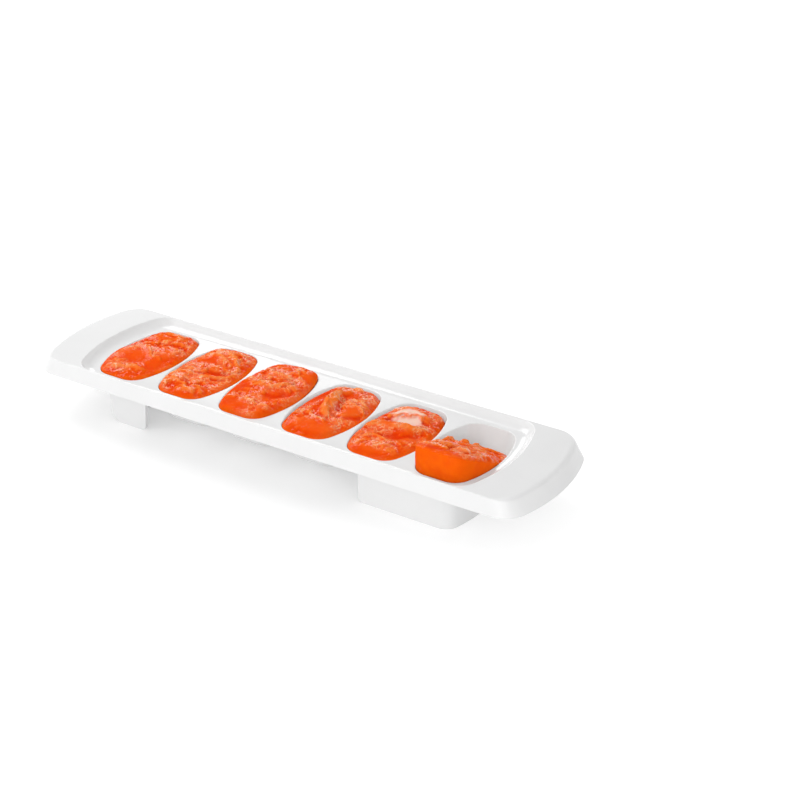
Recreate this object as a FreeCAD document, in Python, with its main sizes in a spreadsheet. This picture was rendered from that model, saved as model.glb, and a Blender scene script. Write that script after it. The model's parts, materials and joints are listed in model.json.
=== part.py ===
import FreeCAD, Part
import Sketcher
import itertools
import math
import os

# Freezer tray for baby food: a white moulded tray with a row of rocking wells,
# and the frozen heap of puree that sits in each of them.
#
# Frame: millimetres, +X along the tray towards its long foot, +Z up. The origin
# is on the table, under the middle of the tray.
#
# Each well is a surface of revolution about an axis that runs along X just above
# the deck. A portion has the same form, so a push on one end of it rocks it up at
# the other end without binding anywhere: its clearance never changes.

SIZES = [
    # alias, size, what it is
    ("well_count", 6, "wells in the row"),
    ("well_pitch", 37.5, "from one well to the next"),
    ("well_radius", 28.5, "rocking radius inside a well"),
    ("well_width", 36.6, "widest part of a well, along the tray"),
    ("well_bow_radius", 59.0, "bulge of a well's long sides"),
    ("well_corner_radius", 9.5, "between a well's long sides and its bottom"),
    ("axis_height", 4.8, "rocking axis above the deck"),
    ("lip_radius", 0.5, "rounded lip of a well"),
    ("wall", 1.8, "wall of the moulding"),
    ("recess_depth", 4.0, "deck below the rim"),
    ("recess_wall_run", 2.9, "how far the recess wall leans out"),
    ("cove_radius", 6.5, "cove between the recess wall and the deck"),
    ("recess_side_margin", 6.7, "recess mouth beyond the wells' ends"),
    ("recess_end_margin", 7.4, "recess mouth beyond the last well"),
    ("recess_corner_radius", 11.0, "corner of the recess mouth"),
    ("recess_bow_radius", 80.0, "bulge of the recess's ends"),
    ("crest_width", 0.8, "rim crest along the long sides"),
    ("flange_length", 20.5, "flat flange at each end"),
    ("rim_corner_radius", 12.0, "corner of the rim"),
    ("rim_bow_radius", 90.0, "bulge of the rim's ends"),
    ("rim_edge_radius", 0.5, "rounded edges of the rim"),
    ("end_edge_radius", 3.0, "softer outer edge round the rim's ends"),
    ("skirt_drop", 8.3, "skirt's lower edge below the rim"),
    ("skirt_side_flare", 1.45, "skirt's lean along the long sides"),
    ("skirt_end_flare", 4.75, "skirt's lean at the ends"),
    ("floor_gap", 0.5, "wells clear of the table"),
    ("foot_wall", 2.0, "wall of the feet"),
    ("foot_setback", 0.5, "foot face inside the wells' ends"),
    ("long_foot_length", 53.7, "long foot along the tray"),
    ("long_foot_reach", 12.1, "long foot beyond the last well's middle"),
    ("long_foot_corner_radius", 7.5, "upright corner of the long foot"),
    ("long_foot_bow_radius", 85.0, "bulge of the long foot's end"),
    ("short_foot_length", 24.6, "short foot along the tray, where it is widest"),
    ("short_foot_reach", 5.05, "short foot beyond the first well's middle"),
    ("short_foot_lean", 1.8, "how much each end of the short foot leans in"),
    ("toe_radius", 3.0, "rounded inner toes of the feet"),
    ("heel_radius", 5.5, "rounded outer toe of the short feet"),
    ("portion_gap", 0.2, "between a portion and its well"),
    ("pressed_tilt", 26.0, "degrees by which the last portion is rocked up"),
]

doc = FreeCAD.newDocument("freezer_tray")
sizes = doc.addObject("Spreadsheet::Sheet", "sizes")
for row, (alias, size, meaning) in enumerate(SIZES, start=1):
    sizes.set(f"A{row}", meaning)
    sizes.set(f"B{row}", str(size))
    sizes.setAlias(f"B{row}", alias)
doc.recompute()

# Places that follow from the sizes, as expressions for the sketches and features.
AXIS_Z = "(sizes.floor_gap + sizes.wall + sizes.well_radius)"
DECK_Z = f"({AXIS_Z} - sizes.axis_height)"
RIM_Z = f"({DECK_Z} + sizes.recess_depth)"
SKIRT_Z = f"({RIM_Z} - sizes.skirt_drop)"
LAST_WELL_X = "((sizes.well_count - 1) / 2 * sizes.well_pitch)"
FOOT_FACE_Y = "(sizes.well_radius - sizes.foot_setback)"
RECESS_HALF_LENGTH = f"({LAST_WELL_X} + sizes.well_width / 2 + sizes.recess_end_margin)"
RECESS_HALF_WIDTH = "(sizes.well_radius + sizes.recess_side_margin)"
RIM_HALF_LENGTH = f"({RECESS_HALF_LENGTH} + sizes.flange_length)"
RIM_HALF_WIDTH = f"({RECESS_HALF_WIDTH} + sizes.crest_width)"


def number(expression):
    """The value, in mm, of an expression over the sheet."""
    return float(sizes.evalExpression(expression))


def new_body(label):
    body = doc.addObject("PartDesign::Body", label)
    body.Label = label
    return body


def origin_feature(body, role):
    return next(f for f in body.Origin.OriginFeatures if f.Role == role)


def new_sketch(body, name, role, **offset):
    """A sketch on one of the body's origin planes, moved by expressions x, y, z."""
    sketch = body.newObject("Sketcher::SketchObject", name)
    sketch.AttachmentSupport = [(origin_feature(body, role), "")]
    sketch.MapMode = "FlatFace"
    for axis, expression in offset.items():
        sketch.setExpression(f".AttachmentOffset.Base.{axis}", expression)
    return sketch


def point(x, y):
    return FreeCAD.Vector(x, y, 0)


def line(x0, y0, x1, y1):
    return Part.LineSegment(point(x0, y0), point(x1, y1))


def arc(x, y, radius, start, end):
    circle = Part.Circle(point(x, y), FreeCAD.Vector(0, 0, 1), radius)
    return Part.ArcOfCircle(circle, start, end)


def dimension(sketch, kind, *places, size):
    """Adds a driving dimension and binds it to an expression over the sheet."""
    index = sketch.addConstraint(Sketcher.Constraint(kind, *places, number(size)))
    sketch.setExpression(f"Constraints[{index}]", size)


# Sketcher's numbers for the points of an edge, and for the origin and the axes.
START, END, CENTRE = range(1, 4)
X_AXIS, Y_AXIS = -1, -2
ORIGIN = (X_AXIS, START)

# Two places nearer than this, in mm, are one place.
TOUCH = 1e-3


def join(sketch, kind, first, second):
    """Joins the end of one edge to the start of another, Tangent or Coincident."""
    sketch.addConstraint(Sketcher.Constraint(kind, first, END, second, START))


def bowed_end(reach, half_width, corner, bow):
    """Where the arcs of a bowed end with rounded corners lie.

    Returns how far along the middles of the bow and of its corners are, and the
    angle through which the bow swings to each side.
    """
    bow_x = reach - bow
    corner_x = bow_x + math.sqrt((bow - corner) ** 2 - (half_width - corner) ** 2)
    return bow_x, corner_x, math.asin((half_width - corner) / (bow - corner))


def plan_outline(sketch, half_length, half_width, corner, bow):
    """A rectangle with rounded corners and bowed ends, about the sketch's origin."""
    a, b, r, bow_r = number(half_length), number(half_width), number(corner), number(bow)
    bow_x, corner_x, swing = bowed_end(a, b, r, bow_r)
    right, left = 0.0, math.pi
    back, front = math.pi / 2, math.pi * 3 / 2
    sketch.addGeometry([
        line(corner_x, b, -corner_x, b),
        arc(-corner_x, b - r, r, back, left - swing),
        arc(-bow_x, 0, bow_r, left - swing, left + swing),
        arc(-corner_x, r - b, r, left + swing, front),
        line(-corner_x, -b, corner_x, -b),
        arc(corner_x, r - b, r, front, 2 * math.pi - swing),
        arc(bow_x, 0, bow_r, right - swing, right + swing),
        arc(corner_x, b - r, r, swing, back),
    ])
    edges = range(sketch.GeometryCount)
    back_side, left_bow, front_side, right_bow = edges[::2]
    corners = edges[1::2]
    for edge in edges:
        join(sketch, "Tangent", edge, (edge + 1) % len(edges))
    for side in (back_side, front_side):
        sketch.addConstraint(Sketcher.Constraint("Horizontal", side))
    for end in (left_bow, right_bow):
        sketch.addConstraint(Sketcher.Constraint("PointOnObject", end, CENTRE, X_AXIS))
    for other in corners[1:]:
        sketch.addConstraint(Sketcher.Constraint("Equal", corners[0], other))
    sketch.addConstraint(Sketcher.Constraint("Equal", left_bow, right_bow))
    dimension(sketch, "Radius", corners[0], size=corner)
    dimension(sketch, "Radius", left_bow, size=bow)
    dimension(sketch, "DistanceX", *ORIGIN, right_bow, CENTRE, size=f"{half_length} - ({bow})")
    dimension(sketch, "DistanceX", left_bow, CENTRE, *ORIGIN, size=f"{half_length} - ({bow})")
    dimension(sketch, "DistanceY", *ORIGIN, back_side, START, size=half_width)
    dimension(sketch, "DistanceY", front_side, START, *ORIGIN, size=half_width)


def well_profile(sketch, grow):
    """Half-section of a well, hung from the sketch's X axis, grown by an expression."""
    half_width = f"sizes.well_width / 2 + {grow}"
    depth = f"sizes.well_radius + {grow}"
    corner = f"sizes.well_corner_radius + {grow}"
    bow = f"sizes.well_bow_radius + {grow}"
    a, d, r, bow_r = number(half_width), number(depth), number(corner), number(bow)
    bow_x, corner_x, swing = bowed_end(a, d, r, bow_r)
    left, down, right = math.pi, math.pi * 3 / 2, 2 * math.pi
    sketch.addGeometry([
        line(a, 0, -a, 0),
        arc(-bow_x, 0, bow_r, left, left + swing),
        arc(-corner_x, r - d, r, left + swing, down),
        line(-corner_x, -d, corner_x, -d),
        arc(corner_x, r - d, r, down, right - swing),
        arc(bow_x, 0, bow_r, right - swing, right),
    ])
    top, left_side, left_corner, bottom, right_corner, right_side = range(sketch.GeometryCount)
    join(sketch, "Coincident", top, left_side)
    join(sketch, "Coincident", right_side, top)
    for edge in (left_side, left_corner, bottom, right_corner):
        join(sketch, "Tangent", edge, edge + 1)
    for edge, place in ((top, START), (top, END), (left_side, CENTRE), (right_side, CENTRE)):
        sketch.addConstraint(Sketcher.Constraint("PointOnObject", edge, place, X_AXIS))
    sketch.addConstraint(Sketcher.Constraint("Horizontal", bottom))
    sketch.addConstraint(Sketcher.Constraint("Equal", left_corner, right_corner))
    sketch.addConstraint(Sketcher.Constraint("Equal", left_side, right_side))
    dimension(sketch, "Radius", left_corner, size=corner)
    dimension(sketch, "Radius", left_side, size=bow)
    dimension(sketch, "DistanceX", *ORIGIN, top, START, size=half_width)
    dimension(sketch, "DistanceX", top, END, *ORIGIN, size=half_width)
    dimension(sketch, "DistanceY", bottom, START, *ORIGIN, size=depth)


def loft(body, name, kind, profiles):
    """A straight-sided loft through sketches that have the same edges."""
    feature = body.newObject(f"PartDesign::{kind}", name)
    feature.Profile = profiles[0]
    feature.Sections = profiles[1:]
    feature.Ruled = True
    return feature


def revolve(body, name, kind, sketch):
    """Half a turn about the sketch's X axis, a quarter to each side of the sketch."""
    feature = body.newObject(f"PartDesign::{kind}", name)
    feature.Profile = sketch
    feature.ReferenceAxis = (sketch, ["H_Axis"])
    feature.Midplane = True
    feature.Angle = 180
    return feature


def along_the_row(body, name, feature):
    """Repeats a feature at every well."""
    pattern = body.newObject("PartDesign::LinearPattern", name)
    pattern.Originals = [feature]
    pattern.Direction = (origin_feature(body, "X_Axis"), [""])
    pattern.setExpression("Length", "(sizes.well_count - 1) * sizes.well_pitch")
    pattern.setExpression("Occurrences", "sizes.well_count")
    body.Tip = pattern
    return pattern


def pad(body, name, sketch, length, symmetric=False):
    feature = body.newObject("PartDesign::Pad", name)
    feature.Profile = sketch
    feature.setExpression("Length", length)
    if symmetric:
        feature.SideType = "Symmetric"
    return feature


def fillet(body, name, base, radius, wanted):
    """Rounds the edges of base that the test wanted picks."""
    doc.recompute()
    names = [f"Edge{i}" for i, edge in enumerate(base.Shape.Edges, start=1) if wanted(edge)]
    if not names:
        raise RuntimeError(f"{name}: no edge to round")
    feature = body.newObject("PartDesign::Fillet", name)
    feature.Base = (base, names)
    feature.setExpression("Radius", radius)
    body.Tip = feature
    return feature


def lies_at(shape, height):
    """True for an edge or a face that lies flat at a height."""
    box = shape.BoundBox
    return abs(box.ZMin - height) < TOUCH and abs(box.ZMax - height) < TOUCH


# ---------------------------------------------------------------- the tray

moulding = new_body("moulding")


def rim_outline(name, height, drop, inset):
    """The rim's outer outline at a drop below the rim, moved in by inset."""
    share = f"({drop}) / sizes.skirt_drop"
    sketch = new_sketch(moulding, name, "XY_Plane", z=height)
    plan_outline(
        sketch,
        f"({RIM_HALF_LENGTH} + sizes.skirt_end_flare * {share} - {inset})",
        f"({RIM_HALF_WIDTH} + sizes.skirt_side_flare * {share} - {inset})",
        f"(sizes.rim_corner_radius + sizes.skirt_side_flare * {share} - {inset})",
        f"(sizes.rim_bow_radius + sizes.skirt_end_flare * {share} - {inset})",
    )
    return sketch


def recess_outline(name, height, inset):
    """The outline of the recess's mouth, moved in by inset."""
    sketch = new_sketch(moulding, name, "XY_Plane", z=height)
    plan_outline(
        sketch,
        f"({RECESS_HALF_LENGTH} - {inset})",
        f"({RECESS_HALF_WIDTH} - {inset})",
        f"(sizes.recess_corner_radius - {inset})",
        f"(sizes.recess_bow_radius - {inset})",
    )
    return sketch


# Flange and skirt: a low block that flares out downwards, hollow from below.
loft(moulding, "rim_block", "AdditiveLoft", [
    rim_outline("skirt_foot", SKIRT_Z, "sizes.skirt_drop", "0"),
    rim_outline("rim_top", RIM_Z, "0", "0"),
])
loft(moulding, "rim_hollow", "SubtractiveLoft", [
    rim_outline("hollow_foot", SKIRT_Z, "sizes.skirt_drop", "sizes.wall"),
    rim_outline("hollow_top", f"{RIM_Z} - sizes.wall", "sizes.wall", "sizes.wall"),
])

# The pan under the recess: its wall, as thick as the rest, and the deck.
PAN_SPREAD = "sizes.wall * tan(atan(sizes.recess_depth / sizes.recess_wall_run) / 2)"
loft(moulding, "pan", "AdditiveLoft", [
    recess_outline("pan_foot", f"{DECK_Z} - sizes.wall", f"(sizes.recess_wall_run - {PAN_SPREAD})"),
    recess_outline("pan_top", f"{RIM_Z} - sizes.wall", f"(-{PAN_SPREAD})"),
])

# The wells from outside: one shell, then the row of them.
shell_profile = new_sketch(moulding, "shell_profile", "XZ_Plane", x=f"-{LAST_WELL_X}", y=AXIS_Z)
well_profile(shell_profile, "sizes.wall")
shell = revolve(moulding, "shell", "Revolution", shell_profile)
along_the_row(moulding, "shells", shell)


# Feet hang from inside the deck. The long one is one wall, bent round three sides
# of the last two wells; the short ones are a tab at each side of the first.
FOOT_TOP = f"({DECK_Z} - sizes.wall / 2)"
LONG_FOOT_END = f"({LAST_WELL_X} + sizes.long_foot_reach)"
LONG_FOOT_START = f"({LONG_FOOT_END} - sizes.long_foot_length)"
SHORT_FOOT_END = f"(-({LAST_WELL_X} + sizes.short_foot_reach))"
SHORT_FOOT_START = f"({SHORT_FOOT_END} + sizes.short_foot_length)"


def polygon(sketch, corners):
    """A closed outline with straight sides; each corner is two expressions."""
    places = [(number(x), number(y)) for x, y in corners]
    following = places[1:] + places[:1]
    sketch.addGeometry([line(*start, *end) for start, end in zip(places, following)])
    for edge, (x, y) in enumerate(corners):
        join(sketch, "Coincident", edge, (edge + 1) % len(corners))
        dimension(sketch, "DistanceX", *ORIGIN, edge, START, size=x)
        dimension(sketch, "DistanceY", *ORIGIN, edge, START, size=y)


def long_foot_route(sketch):
    """The outer face of the long foot seen from above: front, end and back."""
    start, face = number(LONG_FOOT_START), number(FOOT_FACE_Y)
    r, bow_r = number("sizes.long_foot_corner_radius"), number("sizes.long_foot_bow_radius")
    bow_x, corner_x, swing = bowed_end(number(LONG_FOOT_END), face, r, bow_r)
    quarter = math.pi / 2
    sketch.addGeometry([
        line(start, -face, corner_x, -face),
        arc(corner_x, r - face, r, -quarter, -swing),
        arc(bow_x, 0, bow_r, -swing, swing),
        arc(corner_x, face - r, r, swing, quarter),
        line(corner_x, face, start, face),
    ])
    front, front_turn, end_wall, back_turn, back = range(sketch.GeometryCount)
    for edge in (front, front_turn, end_wall, back_turn):
        join(sketch, "Tangent", edge, edge + 1)
    for edge in (front, back):
        sketch.addConstraint(Sketcher.Constraint("Horizontal", edge))
    sketch.addConstraint(Sketcher.Constraint("PointOnObject", end_wall, CENTRE, X_AXIS))
    sketch.addConstraint(Sketcher.Constraint("Equal", front_turn, back_turn))
    dimension(sketch, "Radius", front_turn, size="sizes.long_foot_corner_radius")
    dimension(sketch, "Radius", end_wall, size="sizes.long_foot_bow_radius")
    dimension(sketch, "DistanceX", *ORIGIN, end_wall, CENTRE,
              size=f"{LONG_FOOT_END} - sizes.long_foot_bow_radius")
    dimension(sketch, "DistanceX", *ORIGIN, front, START, size=LONG_FOOT_START)
    dimension(sketch, "DistanceX", *ORIGIN, back, END, size=LONG_FOOT_START)
    dimension(sketch, "DistanceY", front, START, *ORIGIN, size=FOOT_FACE_Y)
    dimension(sketch, "DistanceY", *ORIGIN, back, END, size=FOOT_FACE_Y)


route = new_sketch(moulding, "long_foot_route", "XY_Plane")
long_foot_route(route)
foot_section = new_sketch(moulding, "long_foot_section", "YZ_Plane", z=LONG_FOOT_START)
polygon(foot_section, [
    (f"-{FOOT_FACE_Y}", "0"),
    (f"-{FOOT_FACE_Y} + sizes.foot_wall", "0"),
    (f"-{FOOT_FACE_Y} + sizes.foot_wall", FOOT_TOP),
    (f"-{FOOT_FACE_Y}", FOOT_TOP),
])
long_foot = moulding.newObject("PartDesign::AdditivePipe", "long_foot")
long_foot.Profile = foot_section
long_foot.Spine = (route, [])

short_foot_side = new_sketch(moulding, "short_foot_side", "XZ_Plane", z=FOOT_FACE_Y)
polygon(short_foot_side, [
    (f"{SHORT_FOOT_END} + sizes.short_foot_lean", "0"),
    (f"{SHORT_FOOT_START} - sizes.short_foot_lean", "0"),
    (SHORT_FOOT_START, FOOT_TOP),
    (SHORT_FOOT_END, FOOT_TOP),
])
short_foot = pad(moulding, "short_foot", short_foot_side, "sizes.foot_wall")
short_foot.Reversed = True
short_feet = moulding.newObject("PartDesign::Mirrored", "short_feet")
short_feet.Originals = [short_foot]
short_feet.MirrorPlane = (origin_feature(moulding, "XZ_Plane"), [""])
moulding.Tip = short_feet


def is_toe(edge):
    """True for a lower corner of a foot: straight across its wall, on the table."""
    box = edge.BoundBox
    return lies_at(edge, 0) and box.XLength < TOUCH \
        and abs(box.YLength - number("sizes.foot_wall")) < TOUCH


def is_heel(edge):
    """True for a short foot's outer lower corner."""
    return is_toe(edge) and edge.BoundBox.XMax < -number(LAST_WELL_X)


heels = fillet(moulding, "heels", short_feet, "sizes.heel_radius", is_heel)
fillet(moulding, "toes", heels, "sizes.toe_radius", is_toe)

# The recess, its cove, and the wells inside it.
recess = loft(moulding, "recess", "SubtractiveLoft", [
    recess_outline("recess_floor", DECK_Z, "sizes.recess_wall_run"),
    recess_outline("recess_mouth", RIM_Z, "0"),
    recess_outline("recess_clearance", f"{AXIS_Z} + sizes.wall", "0"),
])
moulding.Tip = recess
fillet(moulding, "cove", recess, "sizes.cove_radius", lambda edge: lies_at(edge, number(DECK_Z)))
hollow_profile = new_sketch(moulding, "well_profile", "XZ_Plane", x=f"-{LAST_WELL_X}", y=AXIS_Z)
well_profile(hollow_profile, "0")
well = revolve(moulding, "well", "Groove", hollow_profile)
wells = along_the_row(moulding, "wells", well)


def lip_edges():
    """The deck's inner outlines: the mouth of each well."""
    doc.recompute()
    deck = next(face for face in wells.Shape.Faces if lies_at(face, number(DECK_Z)))
    mouths = [wire for wire in deck.Wires if not wire.isSame(deck.OuterWire)]
    return [edge for mouth in mouths for edge in mouth.Edges]


lips_of_wells = lip_edges()
fillet(moulding, "lips", wells, "sizes.lip_radius",
       lambda edge: any(edge.isSame(lip) for lip in lips_of_wells))


def rim_radii(edge):
    """The rounding at both ends of an edge of the rim, or None for other edges.

    The recess's edge is crisp all round. The outer edge is crisp along the sides
    and soft round the ends; it changes from one to the other along the corners.
    """
    if not lies_at(edge, number(RIM_Z)):
        return None
    crisp, soft = number("sizes.rim_edge_radius"), number("sizes.end_edge_radius")
    box, side = edge.BoundBox, number(RIM_HALF_WIDTH) - TOUCH
    if max(-box.XMin, box.XMax) < number(RECESS_HALF_LENGTH) + TOUCH and max(-box.YMin, box.YMax) < side:
        return crisp, crisp
    ends = (edge.valueAt(edge.FirstParameter), edge.valueAt(edge.LastParameter))
    return tuple(crisp if abs(end.y) > side else soft for end in ends)


doc.recompute()
tray = doc.addObject("Part::Fillet", "tray")
tray.Label = "tray"
tray.Base = moulding
tray.Edges = [
    (index, *radii) for index, edge in enumerate(moulding.Shape.Edges, start=1)
    if (radii := rim_radii(edge))
]


# ------------------------------------------------------------ the portions

# The heap on each portion is an even dome with spoonfuls on it. Places are across and
# back from the middle of its well, tops and ends are over the deck, all in mm; a
# spoonful's turn is in degrees from X towards Y.
DOME = ("across", "back", "crown", "end")
SPOONFUL = ("across", "back", "length", "width", "turn", "top", "half_height")
HEAPS = [
    # a dome, and its spoonfuls
    ((-1, -6, 2.1, -0.5), [
        (1, -19.5, 31, 15.5, 10, 3.2, 5.0),
        (-8, -0.5, 29.5, 13, 72, 2.7, 1.6),
        (0.5, 16.5, 28.5, 19, 3, 3.2, 3.3),
        (6.5, 1.5, 28, 18, 73, 2.9, 2.3),
        (-0.5, -0.5, 21.5, 19, 67, 2.8, 1.9),
    ]),
    ((6, 1, 1.4, 0.5), [
        (-7, -9.5, 29, 15, 76, 3.4, 3.0),
        (3.5, -19.5, 19, 13.5, 8, 2.7, 2.4),
        (0.5, 14.5, 29, 19, -22, 4.0, 3.7),
        (3.5, -9.5, 33.5, 15, 28, 2.8, 4.2),
        (-1, 5.5, 29.5, 19, 41, 2.8, 1.7),
    ]),
    ((-0.5, 4, 3.4, 0.6), [
        (0, -17, 28, 18.5, -4, 3.2, 1.4),
        (2, 0.5, 28, 12, 21, 4.6, 1.9),
        (4.5, 17.5, 26.5, 19, -27, 3.6, 2.2),
        (9, -17.5, 12.5, 11, 28, 3.3, 3.8),
    ]),
    ((2, -5, 2.0, -1.2), [
        (-2.5, 1, 34, 10.5, -74, 4.6, 4.5),
        (0.5, -16.5, 28, 19, -6, 2.8, 2.4),
        (8.5, 6, 31.5, 18.5, -81, 2.9, 5.0),
        (0, 18.5, 26.5, 15.5, 4, 1.7, 2.5),
        (-4, 13.5, 19, 12, 55, 3.2, 5.0),
    ]),
    ((0, -5.5, 1.4, -0.7), [
        (-0.5, 14, 26.5, 19, -14, 3.0, 3.8),
        (-1, 0, 34, 11.5, 16, 3.9, 4.3),
        (-0.5, -16.5, 29, 19, -8, 2.3, 2.3),
        (-1.5, 13, 28, 12, 22, 3.5, 5.0),
    ]),
    ((0.5, -4.5, 2.8, 0.0), [
        (-5.5, -12, 19, 15.5, 61, 4.0, 5.0),
        (4.5, -10, 19, 10.5, -84, 3.5, 2.9),
        (-2, 5.5, 29, 19, -5, 3.8, 2.7),
        (0.5, 17.5, 32, 19, 0, 2.7, 1.8),
        (-3.5, -20.5, 26, 9.5, 2, 2.8, 2.9),
    ]),
]
heap_sizes = doc.addObject("Spreadsheet::Sheet", "heap_sizes")
heap_rows = itertools.count(1)

UP = FreeCAD.Vector(0, 0, 1)
# Turns a ball's or an ellipsoid's poles from Z, where they would show, to Y.
LYING = FreeCAD.Rotation(FreeCAD.Vector(1, 0, 0), 90)


def heap_row(name, columns, values):
    """Adds a row to the sheet of heap sizes and returns its values as expressions."""
    row = next(heap_rows)
    for letter, column, value in zip("ABCDEFG", columns, values):
        heap_sizes.set(f"{letter}{row}", str(value))
        heap_sizes.setAlias(f"{letter}{row}", f"{name}_{column}")
    return [f"heap_sizes.{name}_{column}" for column in columns]


def place_over_deck(item, across, back, height):
    """Binds an item's place, from the rocking axis over the middle of its well."""
    item.setExpression(".Placement.Base.x", across)
    item.setExpression(".Placement.Base.y", back)
    item.setExpression(".Placement.Base.z", f"{height} - sizes.axis_height")


def dome(name, values):
    """A ball so large that its top spans the whole well."""
    across, back, crown, end = heap_row(name, DOME, values)
    ball = doc.addObject("Part::Sphere", name)
    ball.Placement.Rotation = LYING
    ball.setExpression("Radius", f"(sizes.well_radius ^ 2 / ({crown} - {end}) + {crown} - {end}) / 2")
    place_over_deck(ball, across, back, f"{crown} - {name}.Radius / 1 mm")
    return ball


def spoonful(name, values):
    """An ellipsoid that stands out of the dome."""
    across, back, length, width, turn, top, half_height = heap_row(name, SPOONFUL, values)
    heap_sizes.recompute()
    blob = doc.addObject("Part::Ellipsoid", name)
    blob.Placement.Rotation = FreeCAD.Rotation(UP, number(turn)).multiply(LYING)
    blob.setExpression("Radius1", f"{width} / 2")
    blob.setExpression("Radius2", f"{length} / 2")
    blob.setExpression("Radius3", half_height)
    place_over_deck(blob, across, back, f"{top} - {half_height}")
    return blob


def portion(place_in_row, heap_values, tilt):
    """A frozen portion, made about its own rocking axis and set into its well."""
    filling = new_body(f"filling_{place_in_row}")
    profile = new_sketch(filling, "profile", "XZ_Plane")
    well_profile(profile, "(-sizes.portion_gap)")
    filling.Tip = revolve(filling, "half_turn", "Revolution", profile)
    dome_values, spoonfuls = heap_values
    heap = doc.addObject("Part::MultiFuse", f"heap_{place_in_row}")
    heap.Shapes = [dome(f"dome_{place_in_row}", dome_values)] + [
        spoonful(f"spoonful_{place_in_row}_{index}", values)
        for index, values in enumerate(spoonfuls, start=1)
    ]
    item = doc.addObject("Part::Common", f"puree_portion_{place_in_row}")
    item.Base = filling
    item.Tool = heap
    item.setExpression(".Placement.Base.x",
                       f"{place_in_row - 1} * sizes.well_pitch - {LAST_WELL_X}")
    item.setExpression(".Placement.Base.z", AXIS_Z)
    item.Placement.Rotation = FreeCAD.Rotation(FreeCAD.Vector(-1, 0, 0), tilt)
    return item


# All lie level but the last, which a push on its back end has rocked up in front.
well_count = int(number("sizes.well_count"))
tilts = [0] * (well_count - 1) + [number("sizes.pressed_tilt")]
portions = [
    portion(place, heap_values, tilt)
    for place, heap_values, tilt in zip(itertools.count(1), itertools.cycle(HEAPS), tilts)
]


# ------------------------------------------------------- checks and export

doc.recompute()
for item in doc.Objects:
    if {"Invalid", "Error"} & set(item.State):
        raise RuntimeError(f"{item.Label}: {item.State}")
    if item.TypeId == "Sketcher::SketchObject" and not item.FullyConstrained:
        raise RuntimeError(f"{item.Label}: not fully constrained")
    if item.TypeId in ("PartDesign::SubtractiveLoft", "PartDesign::Groove") \
            and not item.Shape.Volume < item.BaseFeature.Shape.Volume:
        raise RuntimeError(f"{item.Label}: cuts nothing")

os.makedirs("parts", exist_ok=True)
for node in [tray, *portions]:
    shape = node.Shape
    if shape.isNull() or not shape.isValid() or len(shape.Solids) != 1:
        raise RuntimeError(f"{node.Label}: not one valid solid")
    shape.exportStep(f"parts/{node.Label}.step")
    print(f"{node.Label}: {shape.Volume / 1000:.2f} cm3")
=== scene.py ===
import json
import math

import bpy
import numpy as np
from mathutils import Euler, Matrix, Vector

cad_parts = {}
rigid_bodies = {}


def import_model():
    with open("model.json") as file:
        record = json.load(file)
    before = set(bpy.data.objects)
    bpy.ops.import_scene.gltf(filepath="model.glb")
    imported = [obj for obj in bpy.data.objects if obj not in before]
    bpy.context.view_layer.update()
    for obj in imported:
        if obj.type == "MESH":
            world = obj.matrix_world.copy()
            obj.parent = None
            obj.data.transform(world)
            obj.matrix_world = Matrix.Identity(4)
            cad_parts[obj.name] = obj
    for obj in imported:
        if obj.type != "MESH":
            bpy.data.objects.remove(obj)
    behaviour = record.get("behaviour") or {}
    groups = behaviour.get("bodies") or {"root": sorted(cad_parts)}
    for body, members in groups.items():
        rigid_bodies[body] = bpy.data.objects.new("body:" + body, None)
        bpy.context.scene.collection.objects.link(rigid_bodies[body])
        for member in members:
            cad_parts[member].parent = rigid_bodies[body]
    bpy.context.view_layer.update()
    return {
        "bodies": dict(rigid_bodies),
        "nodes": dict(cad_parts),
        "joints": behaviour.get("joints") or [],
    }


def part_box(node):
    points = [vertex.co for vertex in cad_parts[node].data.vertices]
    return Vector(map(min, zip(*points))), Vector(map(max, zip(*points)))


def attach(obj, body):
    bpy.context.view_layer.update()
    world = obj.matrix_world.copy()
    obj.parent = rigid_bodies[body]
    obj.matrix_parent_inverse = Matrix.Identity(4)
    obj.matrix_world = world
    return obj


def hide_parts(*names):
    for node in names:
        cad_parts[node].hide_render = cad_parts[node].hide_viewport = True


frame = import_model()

bl_info = {
    "name": "Freezer tray dressing",
    "version": (1, 0, 0),
    "blender": (4, 5, 0),
    "location": "3D View > Sidebar > Freezer tray",
    "description": "Finishes a moulded freezer tray and fills its wells with puree",
    "category": "Object",
}

MM = 0.001
PORTIONS = [name for name in frame["bodies"] if name.startswith("portion_")]
JOINT_OF = {joint["child"]: joint for joint in frame["joints"]}


# ------------------------------------------------------------ what a user sets

class TrayFinish(bpy.types.PropertyGroup):
    """Colour and gloss of the moulded plastic."""

    colour: bpy.props.FloatVectorProperty(
        name="Plastic", description="Colour of the moulding",
        subtype="COLOR", size=3, min=0, max=1, default=(0.88, 0.88, 0.88))
    roughness: bpy.props.FloatProperty(
        name="Roughness", description="How much the moulding blurs a reflection",
        subtype="FACTOR", min=0, max=1, default=0.10)
    ripple: bpy.props.FloatProperty(
        name="Ripple", description="Depth of the slow waves in the moulded surface",
        subtype="DISTANCE", unit="LENGTH", min=0, max=0.001, default=0.00006)


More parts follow.
